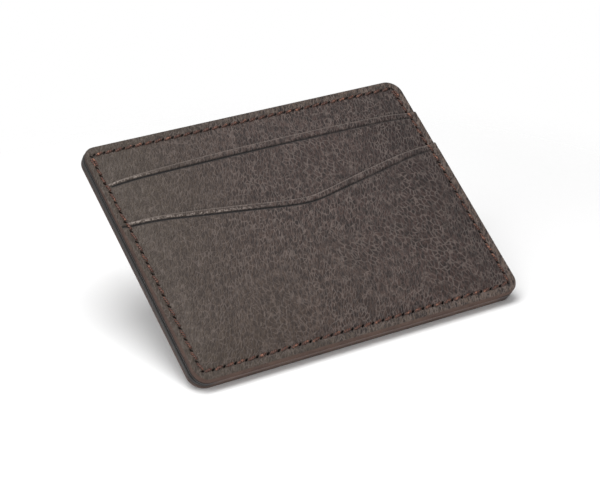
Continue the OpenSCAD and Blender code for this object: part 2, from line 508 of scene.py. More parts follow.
@dataclass(frozen=True)
class LeatherFinish:
    """Pebbled calf leather with creased lips and painted edges; its colour also holds painted light: a lit
    olive left and border, painted shade to the right, in the grain's valleys, the creases and the side
    groove, and painted highlights on the grain lines and the lips.
    """

    name: str = "pebbled_leather"
    base: Colour = (0.053, 0.0285, 0.0235)
    # lighter olive tone, painted on the left of the face and on the sewn border as painted light: the sheen
    # of the lit side
    olive: Colour = (0.050, 0.0355, 0.0245)
    # light tone painted on the sewn border, more of it to the right, as painted light
    border_light: Colour = (0.105, 0.072, 0.055)
    # dark plum: random mottling of the face and of the edge paint, and painted shade on the right of the
    # face
    plum: Colour = (0.023, 0.0095, 0.0085)
    # painted shade in the low streaks of the grain
    valley: Colour = (0.010, 0.005, 0.004)
    # painted highlight on the lines between the pebbles
    line_highlight: Colour = (0.160, 0.125, 0.110)
    # painted shade in the creases below the lips and in the groove between the halves
    groove_shade: Colour = (0.003, 0.0018, 0.0015)
    # painted highlight: speckled glint above the crease and a thin line along the lip's edge
    lip_glint: Colour = (0.26, 0.215, 0.19)
    paint: Colour = (0.082, 0.046, 0.033)
    roughness: float = 0.5
    pebbles_per_m: float = 1200.0
    coarse_per_m: float = 820.0
    slack_spots: tuple[tuple[tuple[float, float, float], float], ...] = (
        ((-0.020, -0.024, 0.005), 0.016),
        ((0.014, 0.018, 0.005), 0.014),
    )

    def make(self) -> Material:
        """Build the material.

        Returns:
            The leather.
        """
        b = Bench(self.name)
        swirl = b.add("ShaderNodeTexNoise", Vector=b.place, Scale=700.0, Detail=2.0, Roughness=0.5)
        wobble = swirl.outputs["Color"]
        nudge = b.add("ShaderNodeVectorMath", {"operation": "MULTIPLY_ADD"})
        b.feed(nudge.inputs[0], wobble)
        nudge.inputs[1].default_value = (0.0007, 0.0007, 0.0007)
        b.feed(nudge.inputs[2], b.place)
        soft_place = nudge.outputs[0]

        fine = self.network(b, b.stretched(2.2, 0.42, soft_place), self.pebbles_per_m)
        coarse = self.network(b, b.stretched(1.5, -0.5, soft_place), self.coarse_per_m)
        patches = b.ramp(b.noise(b.place, 42.0, 1), 0.52, 0.7)
        for centre, reach in self.slack_spots:
            slack = b.ramp(b.apart(soft_place, centre), reach * 0.4, reach, 0.9, 0.0)
            patches = b.maths("MAXIMUM", patches, slack)
        grain = b.add("ShaderNodeMix", {"data_type": "FLOAT"})
        b.feed(grain.inputs[0], patches)
        b.feed(grain.inputs[2], fine)
        b.feed(grain.inputs[3], coarse)
        lines = grain.outputs[0]
        streaks = b.noise(b.stretched(3.5, 0.42), 1900.0, 3, 0.7)
        pores = b.noise(b.place, 5200.0, 2, 0.6)

        # Painted light across the face: the left and the sewn border take the lighter olive as a painted
        # sheen, and the right darkens towards plum as painted shade
        across = b.add("ShaderNodeSeparateXYZ", Vector=b.place).outputs[0]
        painted_light_across = b.maths("MULTIPLY_ADD", b.noise(b.place, 18.0, 2), -0.06, across)
        tint = b.maths("MAXIMUM", b.ramp(painted_light_across, -0.085, -0.01, 1.0, 0.1), b.attribute("border"))
        inside = b.maths("SUBTRACT", 1.0, b.attribute("border"))
        # painted shade: the face darkens towards plum on the right, inside the border
        far = b.maths("MULTIPLY", b.ramp(painted_light_across, -0.015, 0.022), inside)
        mottled = b.mix(b.ramp(b.noise(b.place, 60.0, 3, 0.6), 0.3, 0.7, 0, 0.4), self.base, self.plum)
        mottled = b.mix(far, mottled, self.plum)
        ground = b.mix(tint, mottled, self.olive)
        # painted light: the sewn border grows lighter towards the right
        border_light = b.maths("MULTIPLY", b.attribute("border"), b.ramp(across, -0.02, 0.045, 0.0, 0.9))
        ground = b.mix(border_light, ground, self.border_light)
        # painted shade in the grain's valleys, weaker on the left
        grain_shading_strength = b.ramp(painted_light_across, -0.08, -0.02, 0.5, 1.0)
        shaded = b.maths("MULTIPLY", b.ramp(streaks, 0.39, 0.62, 1.0, 0.0), grain_shading_strength)
        sunk = b.mix(shaded, ground, self.valley)
        # painted highlights along the grain's network lines, broken up by noise
        catching = b.ramp(b.noise(b.place, 450.0, 2), 0.36, 0.6, 0.25, 1.0)
        highlit_lines = b.maths("MULTIPLY", b.maths("MULTIPLY", lines, catching), b.maths("MULTIPLY", grain_shading_strength, 0.5))
        grained = b.mix(highlit_lines, sunk, self.line_highlight)
        # painted shade along the creased line below each lip
        crease = b.attribute("crease")
        creased = b.mix(crease, grained, self.groove_shade)
        # painted highlights: speckled glint above each crease on the left, and a thin line along each lip's
        # edge
        specks = b.ramp(b.noise(b.place, 1500.0, 2, 0.7), 0.47, 0.6)
        lip_edge = b.maths("MULTIPLY", b.attribute("lip_edge"), 0.42)
        lip_glint_mask = b.maths("MULTIPLY_ADD", b.attribute("lip_glint"), specks, lip_edge)
        lip_glint = b.mix(lip_glint_mask, creased, self.lip_glint)
        painted = b.attribute("painted")
        coat = b.mix(b.ramp(b.noise(b.place, 220.0, 3, 0.55), 0.3, 0.75, 0, 0.5), self.paint, self.plum)
        sides = b.mix(painted, lip_glint, coat)
        # painted shade in the groove between the halves on the side walls
        groove = b.attribute("groove")
        b.surface(Base_Color=b.mix(groove, sides, self.groove_shade))

        rough = b.ramp(streaks, 0.35, 0.65, self.roughness + 0.12, self.roughness - 0.03)
        dull = b.maths("MAXIMUM", b.maths("MAXIMUM", painted, groove), crease)
        b.surface(Roughness=b.maths("MULTIPLY_ADD", dull, 0.28, rough))
        b.surface(IOR=1.41, Sheen_Weight=0.08, Sheen_Roughness=0.5)

        bare = b.maths("SUBTRACT", 1.0, b.maths("MULTIPLY", painted, 0.9))
        relief = b.maths("MULTIPLY", b.maths("MULTIPLY_ADD", lines, -0.5, streaks), bare)
        body = b.bump(relief, 0.00026, 0.75)
        b.surface(Normal=b.bump(pores, 0.00002, 0.35, body))
        return b.material

    def network(self, b: Bench, place: object, scale: float) -> Socket:
        """The fine lines that run between the pebbles of the grain.

        Args:
            b: The material's bench.
            place: Where to read the pattern.
            scale: Pebbles to a metre.

        Returns:
            1 on the lines, and 0 on the pebbles.
        """
        edge = b.add("ShaderNodeTexVoronoi", {"feature": "DISTANCE_TO_EDGE"}, Vector=place, Scale=scale)
        return b.ramp(edge.outputs["Distance"], 0.02, 0.17, 1.0, 0.0)


@dataclass(frozen=True)
class LiningFinish:
    """Thin twilled lining cloth."""

    name: str = "lining_twill"
    colour: Colour = (0.040, 0.030, 0.026)
    dark: Colour = (0.018, 0.013, 0.011)
    threads_per_m: float = 2600.0

    def make(self) -> Material:
        """Build the material.

        Returns:
            The lining cloth.
        """
        b = Bench(self.name)
        ribs = b.add(
            "ShaderNodeTexWave",
            {"wave_type": "BANDS", "bands_direction": "DIAGONAL"},
            Vector=b.place,
            Scale=self.threads_per_m / 6,
            Distortion=1.5,
            Detail=2.0,
        ).outputs["Fac"]
        slubs = b.noise(b.stretched(5.0), 900.0, 3, 0.6)
        weave = b.maths("MULTIPLY_ADD", slubs, 0.5, b.maths("MULTIPLY", ribs, 0.6))
        painted = b.attribute("painted")
        cloth = b.mix(b.ramp(weave, 0.2, 0.9), self.dark, self.colour)
        sides = b.mix(painted, cloth, LeatherFinish.paint)
        # painted shade in the groove between the halves on the side walls
        b.surface(Base_Color=b.mix(b.attribute("groove"), sides, LeatherFinish.groove_shade))
        b.surface(Roughness=b.ramp(painted, 0, 1, 0.85, 0.5))
        b.surface(Sheen_Weight=0.25)
        cover = b.maths("SUBTRACT", 1.0, painted)
        b.surface(Normal=b.bump(b.maths("MULTIPLY", weave, cover), 0.00006, 0.6))
        return b.material


@dataclass(frozen=True)
class ThreadFinish:
    """Waxed polyester thread, twisted from several plies."""

    name: str = "waxed_rust_thread"
    colour: Colour = (0.105, 0.034, 0.017)
    # dark: painted shade between the strands and where the thread sinks into its holes
    dark: Colour = (0.014, 0.0045, 0.003)
    # pale pink-tan of the painted highlights on the thread
    pale: Colour = (0.42, 0.19, 0.12)

    def make(self) -> Material:
        """Build the material.

        Returns:
            The thread.
        """
        b = Bench(self.name)
        along = b.add("ShaderNodeUVMap", {"uv_map": "strand"}).outputs[0]
        bands = {"wave_type": "BANDS", "bands_direction": "DIAGONAL"}
        twist = b.add("ShaderNodeTexWave", bands, Vector=along, Scale=1.1)
        twist.inputs["Distortion"].default_value = 0.6
        strands = twist.outputs["Fac"]
        tone = b.noise(b.place, 900.0, 2, 0.6)
        # painted shade between the twisted strands
        deep = b.mix(b.ramp(strands, 0.15, 0.8), self.dark, self.colour)
        # painted highlights: pale spots spread by noise
        lit = b.mix(b.ramp(tone, 0.53, 0.7, 0, 0.6), deep, self.pale)
        # painted shade where the thread sinks into its holes
        hole_shade = b.attribute("sunk")
        b.surface(Base_Color=b.mix(hole_shade, lit, self.dark))
        b.surface(Roughness=b.ramp(tone, 0.3, 0.7, 0.34, 0.5))
        b.surface(Sheen_Weight=0.06, Sheen_Roughness=0.35)
        fuzz = b.noise(b.place, 6000.0, 2)
        b.surface(Normal=b.bump(fuzz, 0.00003, 0.4, b.bump(strands, 0.00012, 0.8)))
        return b.material


# ---- Modelling ------------------------------------------------------------


def start_fresh() -> None:
    """Leave edit mode and let go of everything."""
    if bpy.context.object and bpy.context.object.mode != "OBJECT":
        bpy.ops.object.mode_set(mode="OBJECT")
    bpy.ops.object.select_all(action="DESELECT")


def only(piece: Piece) -> None:
    """Select one piece and make it active."""
    start_fresh()
    piece.select_set(True)
    bpy.context.view_layer.objects.active = piece


def copy_of(pattern: Piece, name: str) -> Piece:
    """Copy a piece, with a mesh of its own.

    Args:
        pattern: The piece to copy.
        name: The copy's name.

    Returns:
        The copy.
    """
    one = bpy.data.objects.new(name, pattern.data.copy())
    bpy.context.collection.objects.link(one)
    return one


def joined(copies: list[Piece]) -> Piece:
    """Join pieces into one.

    Args:
        copies: The pieces.

    Returns:
        The one piece that holds them all.
    """
    start_fresh()
    for one in copies:
        one.select_set(True)
    bpy.context.view_layer.objects.active = copies[0]
    bpy.ops.object.join()
    return bpy.context.object


def read_places(piece: Piece) -> Array:
    """Vertex places, in millimetres."""
    places = np.empty(len(piece.data.vertices) * 3)
    piece.data.vertices.foreach_get("co", places)
    return places.reshape(-1, 3) / MM


def write_places(piece: Piece, places: Array) -> None:
    """Move the vertices to places in millimetres."""
    piece.data.vertices.foreach_set("co", (places * MM).ravel())
    piece.data.update()


def store(piece: Piece, name: str, values: Array) -> None:
    """Keep a number for each vertex, for the finish to read."""
    layer = piece.data.attributes.new(name, "FLOAT", "POINT")
    layer.data.foreach_set("value", np.asarray(values, np.float32))


def dress(piece: Piece, finish: Material, slot: str, *nodes: str) -> None:
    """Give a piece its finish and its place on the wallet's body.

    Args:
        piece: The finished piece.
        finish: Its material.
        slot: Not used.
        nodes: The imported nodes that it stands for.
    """
    piece.data.materials.clear()
    piece.data.materials.append(finish)
    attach(piece, "root")
    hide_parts(*nodes)
    log.info("%s: %d faces", piece.name, len(piece.data.polygons))


def grid_lines(
    low: float, high: float, near_low: tuple[float, ...], near_high: tuple[float, ...], step: float
) -> Array:
    """Places of the lines of a grid that is finer along its two ends.

    Args:
        low: Where it starts.
        high: Where it ends.
        near_low: Offsets of the lines close to the start.
        near_high: Offsets of the lines close to the end.
        step: Distance between lines elsewhere.

    Returns:
        The places, in order.
    """
    start, end = low + near_low[-1], high - near_high[-1]
    count = max(1, round((end - start) / step))
    middle = np.linspace(start, end, count + 1)[1:-1]
    return np.concatenate([low + np.array(near_low), middle, high - np.array(near_high[::-1])])


@dataclass(frozen=True)
class Seam:
    """A run of stitches through the same holes."""

    name: str
    holes: tuple[Point, ...]
    doubled: tuple[int, ...] = ()

    def runs(self) -> list[tuple[Point, Point]]:
        """The two holes of each stitch."""
        return list(zip(self.holes[:-1], self.holes[1:]))


@dataclass(frozen=True)
class SeamPlan:
    """Where the needle holes of every seam lie."""

    layout: Layout
    inset: float = 2.65
    corner_gap: float = 0.9
    side_gap: float = 0.3
    long_stitch: float = 1.45
    corner_cut: float = 0.35
    lip_gap: float = 0.6
    stop_gap: float = 4.0
    stop_rise: float = 13.6
    counts_side: tuple[int, int, int] = (3, 4, 14)
    bottom_count: int = 30
    mouth_count: int = 32
    stop_count: int = 26

    @property
    def x(self) -> float:
        """Distance of the side seams from the middle."""
        return self.layout.outline.half_w - self.inset

    @property
    def y(self) -> float:
        """Distance of the bottom and mouth seams from mid-height."""
        return self.layout.outline.half_h - self.inset

    @property
    def stop_y(self) -> float:
        """Height of the card stop seam."""
        return self.stop_rise - self.y

    def side(self, x: float) -> list[Point]:
        """Holes down one side seam, with one just above each lip.

        Args:
            x: Place of the seam across.

        Returns:
            The holes, from the mouth down.
        """
        stops = [
            self.y - self.side_gap,
            float(self.layout.upper_lip.height(np.array(x))) + self.lip_gap,
            float(self.layout.lower_lip.height(np.array(x))) + self.lip_gap,
            -self.y,
        ]
        holes = [(x, stops[0])]
        for high, low, count in zip(stops[:-1], stops[1:], self.counts_side):
            extra = self.long_stitch - 1 if len(holes) == 1 else 0
            whole = count + extra
            holes += [(x, high + (low - high) * (i + 1 + extra) / whole) for i in range(count)]
        corner_x = math.copysign(abs(x) - self.corner_cut, x)
        return holes[:-1] + [(corner_x, holes[-1][1] + self.corner_cut)]

    def row(self, x_end: float, y: float, count: int) -> tuple[Point, ...]:
        """Holes of a straight row, from left to right."""
        return tuple((-x_end + 2 * x_end * i / count, y) for i in range(count + 1))

    def outer(self) -> Seam:
        """Plan the seam that holds the two halves together.

        Returns:
            The seam, its first and last stitches doubled.
        """
        bottom = self.row(self.x, -self.y, self.bottom_count)
        holes = self.side(-self.x) + list(bottom[1:-1]) + self.side(self.x)[::-1]
        return Seam("outer", tuple(holes), doubled=(0, len(holes) - 2))

    def mouth(self) -> Seam:
        """The seam along the mouth of each half."""
        return Seam("mouth", self.row(self.x - self.corner_gap, self.y, self.mouth_count))

    def stop(self) -> Seam:
        """The seam across the front half that the cards stop at."""
        return Seam("stop", self.row(self.x - self.stop_gap, self.stop_y, self.stop_count))


class Finish(Enum):
    """Which material a ply is cut from."""

    LEATHER = "leather"
    LINING = "lining"


EDGE_LINES = (
    0, 0.04, 0.11, 0.2, 0.32, 0.48, 0.7, 1.0, 1.4, 1.8, 2.1, 2.35, 2.65, 2.95, 3.2, 3.5, 3.9, 4.5,
)
LIP_LINES = (
    0, 0.03, 0.08, 0.16, 0.27, 0.42, 0.65, 0.95, 1.25,
    1.45, 1.58, 1.68, 1.78, 1.88, 1.98, 2.1, 2.3, 2.6, 3.1,
)
LIP_CREASE = 1.83
PLAIN_LINES = (0, 0.06, 0.18, 0.35, 1.2, 2.65, 4.0)
LIP_ROUND = 0.3
LIP_NOSE = 0.9
LIP_END = 3
CREASE_WIDTH = 0.3
CREASE_DEPTH = 0.24
HOLLOW_WIDTH = 0.6
HOLLOW_DEPTH = 0.1
SEAM_REACH = 3
SLIT_RADIUS = 0.34
SLIT_STRETCH = 2.0
SLIT_TURN = math.radians(38)
SLIT_LIP_GAP = 0.55
NO_LIP = 99.0
PAINT_FROM, PAINT_FADE = 0.05, 0.3
# height, width and reach of the painted shade in the groove between the halves
GROOVE_LIFT, GROOVE_WIDTH, GROOVE_DEPTH = 0.1, 0.66, 0.7
BORDER_TO, BORDER_FADE = 2.5, 0.7
# where the painted highlights on the lips lie
LIP_EDGE_BELOW, LIP_EDGE_WIDTH = 0.12, 0.2
GLINT_ABOVE_CREASE, GLINT_WIDTH = 0.7, 0.27


@dataclass
class Ply:
    """One cut sheet of leather or lining, shaped by the seams and the swell."""

    name: str
    layout: Layout
    swell: Swell
    low: float
    thickness: float
    rise: float
    kind: Finish = Finish.LEATHER
    lip: Lip | None = None
    step: float = 0.5
    top_round: float = 0.0
    low_round: float = 0.0
    front_seams: tuple[Seam, ...] = ()
    back_seams: tuple[Seam, ...] = ()
    holes: tuple[Seam, ...] = ()
    crease_in: float = 0.0
    drawn_in: float = 0.0

    def build(self) -> Piece:
        """Cut, swell, round, crease and pierce the ply.

        Returns:
            The finished mesh, without its material.
        """
        lines_x, lines_y = self.lines()
        piece = self.cut_sheet(lines_x, lines_y)
        places = read_places(piece)
        upper = self.upper_vertices(places)
        x, y = places[:, 0].copy(), places[:, 1].copy()
        x = self.layout.outline.let_out(x, self.drawn_in)
        places[:, 2] = np.where(upper, self.front_face(x, y), self.back_face(x, y))
        write_places(piece, places)
        if self.holes:
            self.pierce(piece)
        self.paint_marks(piece)
        only(piece)
        bpy.ops.object.shade_smooth_by_angle(angle=math.radians(50))
        return piece

    def lines(self) -> tuple[Array, Array]:
        """Grid lines across and up.

        Returns:
            The lines' places across, and their places up.
        """
        o = self.layout.outline
        near = EDGE_LINES if self.kind is Finish.LEATHER else PLAIN_LINES
        lines_x = grid_lines(-o.half_w, o.half_w, near, near, self.step)
        top = near if self.lip is None else LIP_LINES
        lines_y = grid_lines(-o.half_h, o.half_h, near, top, self.step)
        return lines_x, lines_y

    def cut_sheet(self, lines_x: Array, lines_y: Array) -> Piece:
        """Make the flat sheet, cut to its outline and lip, with its thickness.

        Args:
            lines_x: Places of the grid's lines across.
            lines_y: Places of its lines up, before the lip is cut.

        Returns:
            The closed sheet, its front one millimetre above its back.
        """
        start_fresh()
        bpy.ops.mesh.primitive_grid_add(
            x_subdivisions=len(lines_x) - 1, y_subdivisions=len(lines_y) - 1, size=2 * MM
        )
        piece = bpy.context.object
        piece.name = piece.data.name = self.name
        places = read_places(piece)
        column = np.rint((places[:, 0] + 1) / 2 * (len(lines_x) - 1)).astype(int)
        row = np.rint((places[:, 1] + 1) / 2 * (len(lines_y) - 1)).astype(int)
        x, y = lines_x[column], lines_y[row]
        if self.lip is not None:
            y, x = self.under_lip(x, y)
        x, places[:, 1] = self.layout.outline.turn_corners(x, y)
        places[:, 0] = self.layout.outline.drawn_in(x, self.drawn_in)
        write_places(piece, places)
        bpy.ops.object.mode_set(mode="EDIT")
        bpy.ops.mesh.select_all(action="SELECT")
        bpy.ops.mesh.extrude_region_move(TRANSFORM_OT_translate={"value": (0, 0, MM)})
        bpy.ops.mesh.select_all(action="SELECT")
        bpy.ops.mesh.normals_make_consistent(inside=False)
        bpy.ops.object.mode_set(mode="OBJECT")
        return piece

    def under_lip(self, x: Array, y: Array) -> tuple[Array, Array]:
        """Draw the sheet's top rows down to its lip and round the lip's ends.

        Args:
            x: Places across.
            y: Places up, in a sheet as tall as the wallet.

        Returns:
            The new places up, and across.
        """
        o = self.layout.outline
        fixed_low, fixed_high = -o.half_h + EDGE_LINES[-1], o.half_h - LIP_LINES[-1]
        lip_y = self.lip.height(x)
        spread = self.lip.crease_drop(x) / LIP_CREASE
        share = np.clip((y - fixed_low) / (fixed_high - fixed_low), 0, 1)
        between = fixed_low + (lip_y - LIP_LINES[-1] * spread - fixed_low) * share
        at_lip = lip_y - (o.half_h - y) * spread
        new_y = np.where(y < fixed_low, y, np.where(y > fixed_high, at_lip, between))
        below = lip_y - new_y
        curve = LIP_NOSE - np.sqrt(np.maximum(LIP_NOSE**2 - (LIP_NOSE - below) ** 2, 0))
        trim = np.where(below < LIP_NOSE, curve, 0)
        reach = np.clip((np.abs(x) - (o.half_w - LIP_END)) / LIP_END, 0, 1)
        return new_y, x - np.sign(x) * trim * reach**2

    def upper_vertices(self, places: Array) -> Array:
        """Which vertices belong to the front face."""
        return places[:, 2] > 0.5

    def below_lip(self, x: Array, y: Array) -> Array:
        """Distance below the lip, or far where there is none."""
        return self.lip.height(x) - y if self.lip is not None else np.full_like(x, NO_LIP)

    def rounding(self, inset: Array, r: float) -> Array:
        """Drop of a rounded edge.

        Args:
            inset: Distances inwards from the edge.
            r: Radius of the rounding.

        Returns:
            How far the face lies below its full height.
        """
        if r <= 0:
            return np.zeros_like(inset)
        d = np.clip(inset, 0, r)
        return r - np.sqrt(np.maximum(r * r - (r - d) ** 2, 0))

    def crease(self, x: Array, y: Array) -> Array:
        """Strength of the creased line below the lip.

        Args:
            x: Places across.
            y: Places up.

        Returns:
            1 in the middle of the line, and 0 away from it.
        """
        if self.lip is None:
            return np.zeros_like(x)
        line = dent(self.below_lip(x, y) - self.lip.crease_drop(x), CREASE_WIDTH)
        left_end = smooth((x + self.layout.outline.half_w - self.crease_in) / 0.8)
        right_end = smooth((self.layout.outline.half_w - 2.9 - x) / 0.8)
        return line * left_end * right_end

    def front_face(self, x: Array, y: Array) -> Array:
        """Height of the front face.

        Args:
            x: Places across.
            y: Places up.

        Returns:
            The heights, in millimetres.
        """
        below = self.below_lip(x, y)
        z = self.low + self.thickness + self.rise * self.swell.share(x, y)
        z = z - self.rounding(self.layout.outline.inset(x, y), self.top_round)
        if self.lip is not None:
            z = z - self.rounding(below, LIP_ROUND)
            drop = self.lip.crease_drop(x)
            z = z - CREASE_DEPTH * self.crease(x, y) - HOLLOW_DEPTH * dent(below - drop, HOLLOW_WIDTH)
        return z - self.press(x, y, self.front_seams)

    def back_face(self, x: Array, y: Array) -> Array:
        """Height of the back face.

        Args:
            x: Places across.
            y: Places up.

        Returns:
            The heights, in millimetres.
        """
        z = self.low + self.rise * self.swell.share(x, y)
        z = z + self.rounding(self.layout.outline.inset(x, y), self.low_round)
        return z + self.press(x, y, self.back_seams)

    def press(self, x: Array, y: Array, seams: tuple[Seam, ...]) -> Array:
        """Depth to which the stitches draw the face in.

        Args:
            x: Places across.
            y: Places up.
            seams: The seams that show on this face.

        Returns:
            The depths.
        """
        deep = np.zeros_like(x)
        for seam in seams:
            for (ax, ay), (bx, by) in seam.runs():
                near_x = (x > min(ax, bx) - SEAM_REACH) & (x < max(ax, bx) + SEAM_REACH)
                near_y = (y > min(ay, by) - SEAM_REACH) & (y < max(ay, by) + SEAM_REACH)
                near = near_x & near_y
                if not near.any():
                    continue
                px, py = x[near], y[near]
                run = math.hypot(bx - ax, by - ay)
                t = np.clip(((px - ax) * (bx - ax) + (py - ay) * (by - ay)) / run**2, 0, 1)
                away = np.hypot(px - ax - t * (bx - ax), py - ay - t * (by - ay))
                hole = np.minimum(np.hypot(px - ax, py - ay), np.hypot(px - bx, py - by))
                drawn = 0.14 * dent(away, 0.8) + 0.12 * dent(hole, 0.5)
                deep[near] = np.maximum(deep[near], drawn)
        return deep

    def pierce(self, piece: Piece) -> None:
        """Cut the slanted needle slits right through the ply.

        Args:
            piece: The ply to cut.
        """
        start_fresh()
        slits = []
        for seam in self.holes:
            for number, (hx, hy) in enumerate(seam.holes):
                if self.lip is not None and hy > float(self.lip.height(np.array(hx))) - SLIT_LIP_GAP:
                    continue
                a = seam.holes[max(number - 1, 0)]
                c = seam.holes[min(number + 1, len(seam.holes) - 1)]
                along = math.atan2(c[1] - a[1], c[0] - a[0])
                slits.append((hx, hy, along + SLIT_TURN))
        if not slits:
            return
        bpy.ops.mesh.primitive_cylinder_add(
            vertices=8, radius=SLIT_RADIUS * MM, depth=14 * MM, location=(0, 0, 3 * MM)
        )
        cutter = bpy.context.object
        bpy.ops.object.mode_set(mode="EDIT")
        bpy.ops.mesh.select_all(action="SELECT")
        bpy.ops.transform.resize(value=(SLIT_STRETCH, 1, 1))
        bpy.ops.object.mode_set(mode="OBJECT")
        bpy.ops.object.transform_apply(location=True, rotation=True, scale=True)
        copies = []
        for hx, hy, turn in slits:
            one = copy_of(cutter, "slit")
            one.data.transform(Matrix.Translation((hx * MM, hy * MM, 0)) @ Matrix.Rotation(turn, 4, "Z"))
            copies.append(one)
        bpy.data.objects.remove(cutter)
        cutter = joined(copies)
        only(piece)
        cut = piece.modifiers.new("needle slits", "BOOLEAN")
        cut.operation = "DIFFERENCE"
        cut.solver = "MANIFOLD"
        cut.object = cutter
        bpy.ops.object.modifier_apply(modifier=cut.name)
        bpy.data.objects.remove(cutter)

    def paint_marks(self, piece: Piece) -> None:
        """Store where the edge paint goes, and the masks of painted shade in the creases and the side
        groove, of the border's painted light and of the painted highlights on the lips.

        Args:
            piece: The finished ply.
        """
        p = read_places(piece)
        x, y = self.layout.outline.let_out(p[:, 0], self.drawn_in), p[:, 1]
        inset = self.layout.outline.inset(x, y)
        below = self.below_lip(x, y)
        store(piece, "painted", 1 - smooth((inset - PAINT_FROM) / PAINT_FADE))
        # mask of painted shade in the groove between the halves, on the left and right side walls
        side = smooth((np.abs(x) - self.layout.outline.half_w + 9) / 6)
        gap = np.clip(1.5 * dent(p[:, 2] - self.layout.levels.seam - GROOVE_LIFT, GROOVE_WIDTH), 0, 1)
        store(piece, "groove", gap * side * (inset < GROOVE_DEPTH))
        face, foot = self.front_face(x, y), self.back_face(x, y)
        front = smooth(((p[:, 2] - foot) / np.maximum(face - foot, 0.05) - 0.6) / 0.3)
        # mask of painted shade in the crease, stronger on the left
        stronger = 1.5 - 0.75 * smooth((x + 20) / 60)
        store(piece, "crease", np.clip(self.crease(x, y) * front * stronger, 0, 1))
        # mask of the sewn border, which takes the painted light tones
        store(piece, "border", smooth((BORDER_TO - inset) / BORDER_FADE) * front)
        inside = smooth((np.abs(x) - self.layout.outline.half_w + 2.4) / -0.8)
        # mask of the painted highlight along the lip's edge
        store(piece, "lip_edge", dent(below - LIP_EDGE_BELOW, LIP_EDGE_WIDTH) * inside)
        if self.lip is not None:
            # mask of the painted glint above the crease, on the left
            band = dent(below - self.lip.crease_drop(x) + GLINT_ABOVE_CREASE, GLINT_WIDTH)
            store(piece, "lip_glint", band * smooth((self.lip.glint_to + 10 - x) / 16) * inside)


RINGS = (0.075, 0.125, 0.19, 0.29, 0.5, 0.71, 0.81, 0.875, 0.925)
RING_SINK = (1.0, 0.5, 0.14, 0.0, 0.0, 0.0, 0.14, 0.5, 1.0)
RING_THICK = (0.55, 0.72, 0.92, 1.0, 1.03, 1.0, 0.92, 0.72, 0.55)
LIP_STEP = 0.7
LIP_STEP_RUN = 0.7
LIP_STEP_BELOW = 0.45


